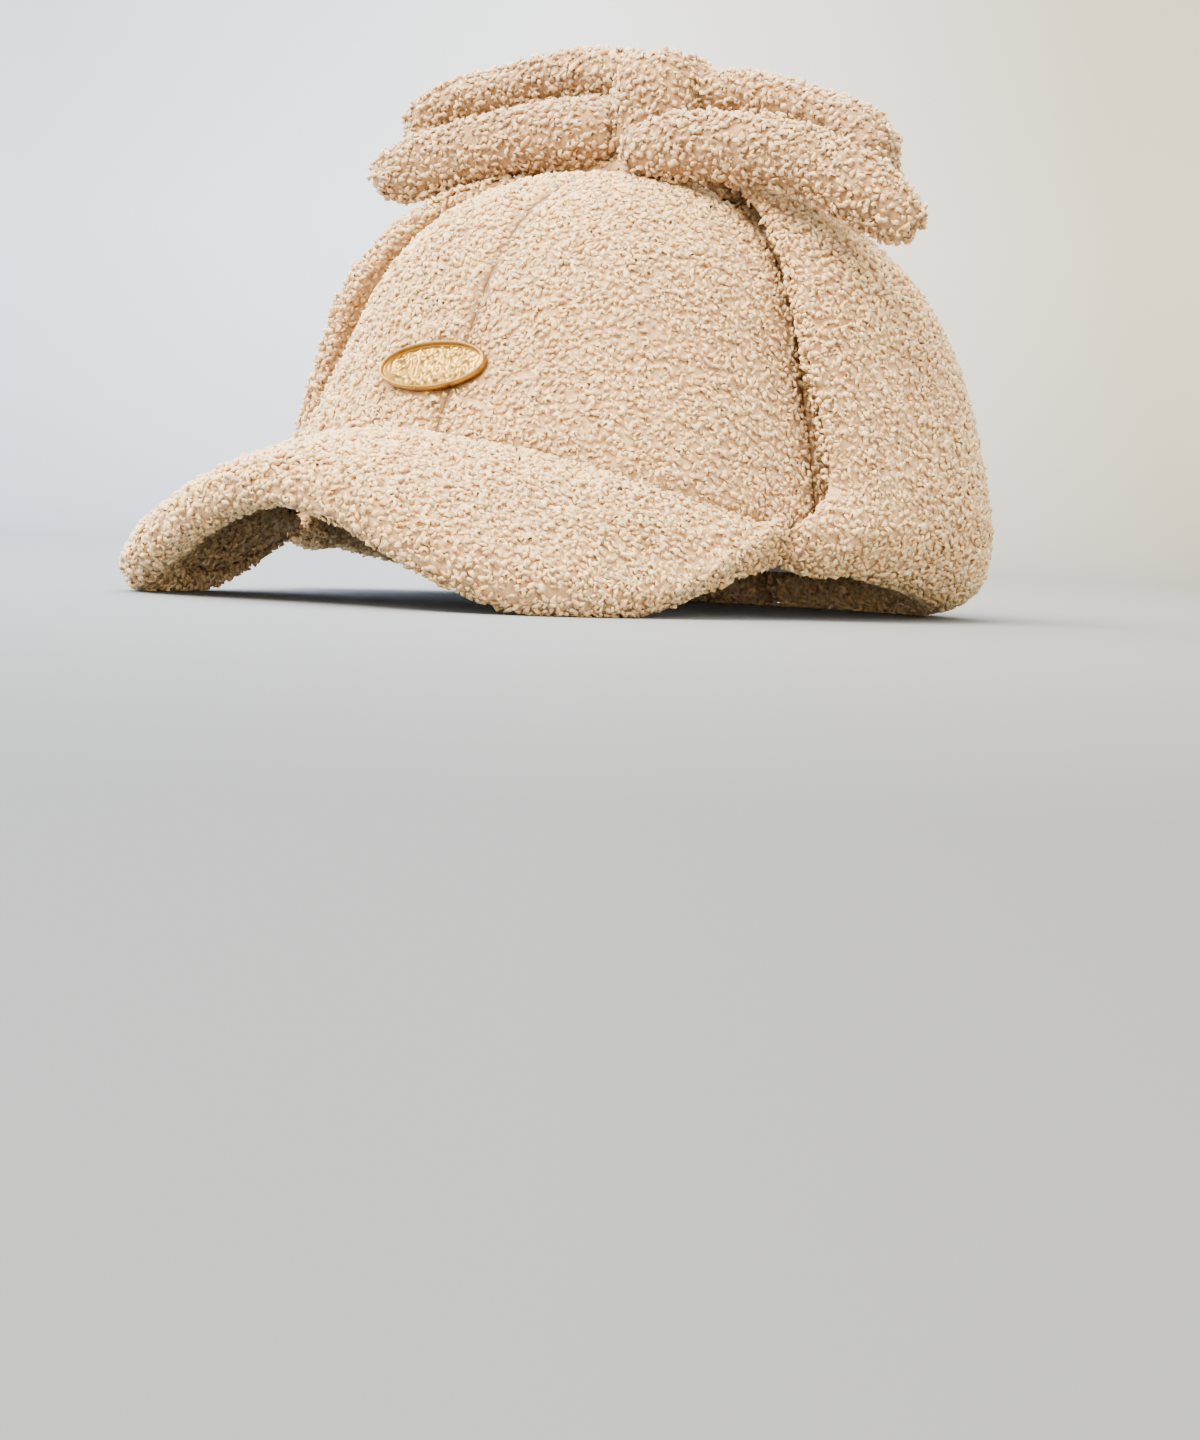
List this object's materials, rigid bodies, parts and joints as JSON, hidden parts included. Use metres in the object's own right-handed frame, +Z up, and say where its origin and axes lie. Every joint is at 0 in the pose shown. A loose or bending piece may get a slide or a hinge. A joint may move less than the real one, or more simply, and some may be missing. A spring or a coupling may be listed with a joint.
{
  "type": "earflap cap",
  "caption": "Fleece earflap cap with a bent peak, earflaps folded up and tied in a soft bow over the crown, and a small oval metal badge.",
  "frame": {"origin": "on the surface the cap rests on, under the middle of its bounding box", "axes": "+Z up, -Y towards the front of the cap, where the peak is, +X towards the wearer's left"},
  "size_m": [0.2238, 0.2936, 0.1764],
  "materials": {
    "fleece": "curly teddy fleece, matt",
    "sweatband_cloth": "plain woven, matt",
    "badge_metal": "polished gilt"
  },
  "bodies": {
    "root": {"crown_front_left": "fleece", "crown_front_right": "fleece", "crown_back_left": "fleece", "crown_back_right": "fleece", "peak_top": "fleece", "peak_underside": "fleece", "sweatband": "sweatband_cloth", "earflap_left": "fleece", "earflap_right": "fleece", "tie_left": "fleece", "tie_right": "fleece", "bow_knot": "fleece", "bow_loop_left": "fleece", "bow_loop_right": "fleece", "bow_tail_left": "fleece", "bow_tail_right": "fleece", "badge": "badge_metal"}
  },
  "joints": []
}
